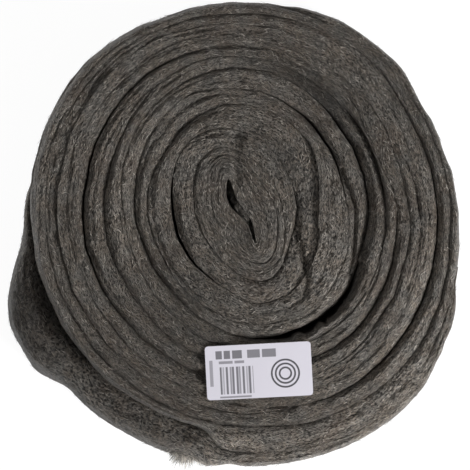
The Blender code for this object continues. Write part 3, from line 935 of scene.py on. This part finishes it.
# Print on the label, in millimetres from its middle: bars, a block of stripes and a plain ring.
labelPrint = {
    "paper": (0.64, 0.62, 0.685, 1), "ink": (0.030, 0.029, 0.034, 1), "roughness": 0.42,
    "bars": [                          # middle x and y, half width, half height, darkness
        (-26.0, 11.6, 2.1, 2.7, 0.76), (-20.6, 11.6, 2.1, 2.7, 0.76), (-13.9, 11.6, 3.2, 2.7, 0.76),
        (-3.0, 11.6, 4.2, 2.7, 0.70), (7.2, 11.6, 4.6, 2.7, 0.70),
        (-21.6, 6.6, 4.6, 0.9, 0.60), (-12.6, 6.6, 3.2, 0.9, 0.60),
        (-16.0, -16.3, 10.4, 0.6, 0.60), (-31.4, -0.3, 1.1, 8.6, 0.52),
    ],
    "stripes": (-14.8, -5.4, 11.0, 9.0, 0.78), "stripeWaves": (1.7, 2.9), "stripeRange": (-0.8, 0.6),
    "rings": [                         # middle x and y, radius, half width, darkness
        (17.4, -2.4, 9.0, 0.6, 0.92), (17.4, -2.4, 6.4, 0.6, 0.92), (17.4, -2.4, 3.8, 0.6, 0.92),
    ],
}


def labelMaterial():
    material, tree, shader = makeMaterial("labelPaper")
    split = addNode(tree, "ShaderNodeSeparateXYZ")
    tree.links.new(addNode(tree, "ShaderNodeUVMap", uv_map="sheet").outputs["UV"], split.inputs[0])
    x, y = split.outputs["X"], split.outputs["Y"]

    def within(middleX, middleY, halfX, halfY):
        inX = mathNode(tree, "COMPARE", x, middleX, halfX)
        inY = mathNode(tree, "COMPARE", y, middleY, halfY)
        return mathNode(tree, "MULTIPLY", inX, inY)

    ink = 0.0
    for middleX, middleY, halfX, halfY, darkness in labelPrint["bars"]:
        bar = mathNode(tree, "MULTIPLY", within(middleX, middleY, halfX, halfY), darkness)
        ink = mathNode(tree, "MAXIMUM", ink, bar)
    # Stripes of uneven width: two waves of different length added.
    middleX, middleY, halfX, halfY, darkness = labelPrint["stripes"]
    waves = [mathNode(tree, "SINE", mathNode(tree, "MULTIPLY", x, k)) for k in labelPrint["stripeWaves"]]
    stripes = rangeNode(tree, mathNode(tree, "ADD", *waves), *labelPrint["stripeRange"], 0.0, 1.0)
    stripes = mathNode(tree, "MULTIPLY", stripes, within(middleX, middleY, halfX, halfY))
    ink = mathNode(tree, "MAXIMUM", ink, mathNode(tree, "MULTIPLY", stripes, darkness))
    for middleX, middleY, radius, halfWidth, darkness in labelPrint["rings"]:
        fromX = mathNode(tree, "SUBTRACT", x, middleX)
        fromY = mathNode(tree, "SUBTRACT", y, middleY)
        square = productSum(tree, fromX, fromX, fromY, fromY)
        ring = mathNode(tree, "COMPARE", mathNode(tree, "SQRT", square), radius, halfWidth)
        ink = mathNode(tree, "MAXIMUM", ink, mathNode(tree, "MULTIPLY", ring, darkness))
    colour = mixColour(tree, ink, labelPrint["paper"], labelPrint["ink"])
    tree.links.new(colour, shader.inputs["Base Color"])
    shader.inputs["Roughness"].default_value = labelPrint["roughness"]
    return material


def laidSpot(cell, across, over):
    left, width, low, height = cell
    return left + width * across, low + height * over


def makeLabel():
    bm = bmesh.new()
    columns, rows = label["cells"]
    bmesh.ops.create_grid(bm, x_segments=columns, y_segments=rows, size=0.5)
    for vert in bm.verts:
        vert.co.x *= label["length"]
        vert.co.y *= label["width"]
    corners = [vert for vert in bm.verts if len(vert.link_faces) == 1]
    bmesh.ops.bevel(bm, geom=corners, offset=label["corner"], segments=4, profile=0.5, affect="VERTICES")
    lower = bm.verts[:] + bm.edges[:] + bm.faces[:]
    raised = bmesh.ops.extrude_face_region(bm, geom=lower)["geom"]
    upper = [part for part in raised if isinstance(part, bmesh.types.BMVert)]
    bmesh.ops.translate(bm, vec=(0, 0, label["thickness"]), verts=upper)
    bmesh.ops.recalc_face_normals(bm, faces=bm.faces)
    sheet = bm.loops.layers.uv.new("sheet")
    laid = bm.loops.layers.uv.new("OFBake")
    bm.normal_update()
    for face in bm.faces:
        for loop in face.loops:
            spot = loop.vert.co
            across, over = spot.x / label["length"] + 0.5, spot.y / label["width"] + 0.5
            loop[sheet].uv = label["offPrint"]
            if face.normal.z > 0.5:
                loop[sheet].uv = (spot.x * 1000, spot.y * 1000)
                loop[laid].uv = laidSpot(label["topCell"], across, over)
            elif face.normal.z < -0.5:
                loop[laid].uv = laidSpot(label["underCell"], across, over)
            else:
                loop[laid].uv = laidSpot(label["edgeCell"], across + over, spot.z / label["thickness"])
    for vert in bm.verts:
        place = complex(vert.co.x, vert.co.y) * towards(label["tilt"]) + labelMiddle
        waves = place / label["rippleLength"]
        ripple = label["ripple"] * softNoise(waves.real, waves.imag, 71)
        rest = smoothTop(place) + label["clearance"] + ripple
        vert.co.x = place.real + winding["slitCentre"][0]
        vert.co.y = place.imag + winding["slitCentre"][1]
        vert.co.z += rest
    mesh = bpy.data.meshes.new("label")
    bm.to_mesh(mesh)
    bm.free()
    mesh.shade_smooth()
    mesh.set_sharp_from_angle(angle=math.radians(label["sharpAngle"]))
    mesh.materials.append(labelMaterial())
    piece = addObject("label", mesh)
    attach(piece, "root")
    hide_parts("paper_label")


makeLabel()
print("label laid")


# Stage, light and camera.
stageSettings = {
    "pixel": 0.00066, "photoSide": 470, "slitPixel": (242, 211), "cameraHeight": 1.9, "sensor": 36,
    "floorSize": 4.0, "floorColour": (0.86, 0.86, 0.86, 1), "floorRoughness": 0.9,
    "glow": 1.15, "glowShare": 0.8, "white": (1, 1, 1, 1), "world": 0.26,
    "shadowedFloor": 0.125,            # the floor under the roll, which sees no light
    "lampTarget": (0, 0, 0.05),
}
lamps = {
    "keyLight": {"place": (1.05, -0.80, 0.95), "size": 0.55, "power": 30},
    "fillLight": {"place": (-0.7, 0.5, 1.4), "size": 1.2, "power": 4},
}


def areaLight(name, settings):
    light = bpy.data.lights.new(name, "AREA")
    light.energy = settings["power"]
    light.shape = "DISK"
    light.size = settings["size"]
    lamp = addObject(name, light)
    lamp.location = settings["place"]
    aim = Vector(stageSettings["lampTarget"]) - Vector(settings["place"])
    lamp.rotation_euler = aim.to_track_quat("-Z", "Y").to_euler()


def makeStage():
    bm = bmesh.new()
    bmesh.ops.create_grid(bm, x_segments=1, y_segments=1, size=stageSettings["floorSize"])
    mesh = bpy.data.meshes.new("floor")
    bm.to_mesh(mesh)
    bm.free()
    floor = addObject("floor", mesh)
    material, tree, shader = makeMaterial("paleFloor")
    shader.inputs["Base Color"].default_value = stageSettings["floorColour"]
    shader.inputs["Roughness"].default_value = stageSettings["floorRoughness"]
    glow = addNode(tree, "ShaderNodeEmission")
    glow.inputs["Color"].default_value = stageSettings["white"]
    glow.inputs["Strength"].default_value = stageSettings["glow"]
    ray = addNode(tree, "ShaderNodeLightPath")
    seen = mathNode(tree, "MAXIMUM", ray.outputs["Is Camera Ray"], ray.outputs["Is Glossy Ray"])
    seen = mathNode(tree, "MAXIMUM", seen, ray.outputs["Is Transmission Ray"])
    distance = addNode(tree, "ShaderNodeVectorMath", operation="LENGTH")
    tree.links.new(addNode(tree, "ShaderNodeTexCoord").outputs["Object"], distance.inputs[0])
    outside = mathNode(tree, "GREATER_THAN", distance.outputs["Value"], stageSettings["shadowedFloor"])
    share = mathNode(tree, "MULTIPLY", seen, stageSettings["glowShare"])
    share = mathNode(tree, "MULTIPLY", share, outside)
    mix = addNode(tree, "ShaderNodeMixShader")
    tree.links.new(share, mix.inputs[0])
    tree.links.new(shader.outputs[0], mix.inputs[1])
    tree.links.new(glow.outputs[0], mix.inputs[2])
    tree.links.new(mix.outputs[0], tree.nodes["Material Output"].inputs["Surface"])
    mesh.materials.append(material)


makeStage()
world = bpy.data.worlds.new("studio")
bpy.context.scene.world = world
world.use_nodes = True
background = world.node_tree.nodes["Background"]
background.inputs["Color"].default_value = stageSettings["white"]
background.inputs["Strength"].default_value = stageSettings["world"]
for name, settings in lamps.items():
    areaLight(name, settings)

pixel = stageSettings["pixel"]
middlePixel = stageSettings["photoSide"] / 2
aimX = winding["slitCentre"][0] + (middlePixel - stageSettings["slitPixel"][0]) * pixel
aimY = winding["slitCentre"][1] - (middlePixel - stageSettings["slitPixel"][1]) * pixel
camera = addObject("camera", bpy.data.cameras.new("camera"))
camera.location = (aimX, aimY, winding["height"] + stageSettings["cameraHeight"])
camera.data.sensor_width = stageSettings["sensor"]
frameWidth = stageSettings["photoSide"] * pixel
camera.data.lens = stageSettings["sensor"] * stageSettings["cameraHeight"] / frameWidth
bpy.context.scene.camera = camera
bpy.context.scene.view_settings.view_transform = "Standard"
print("stage set")
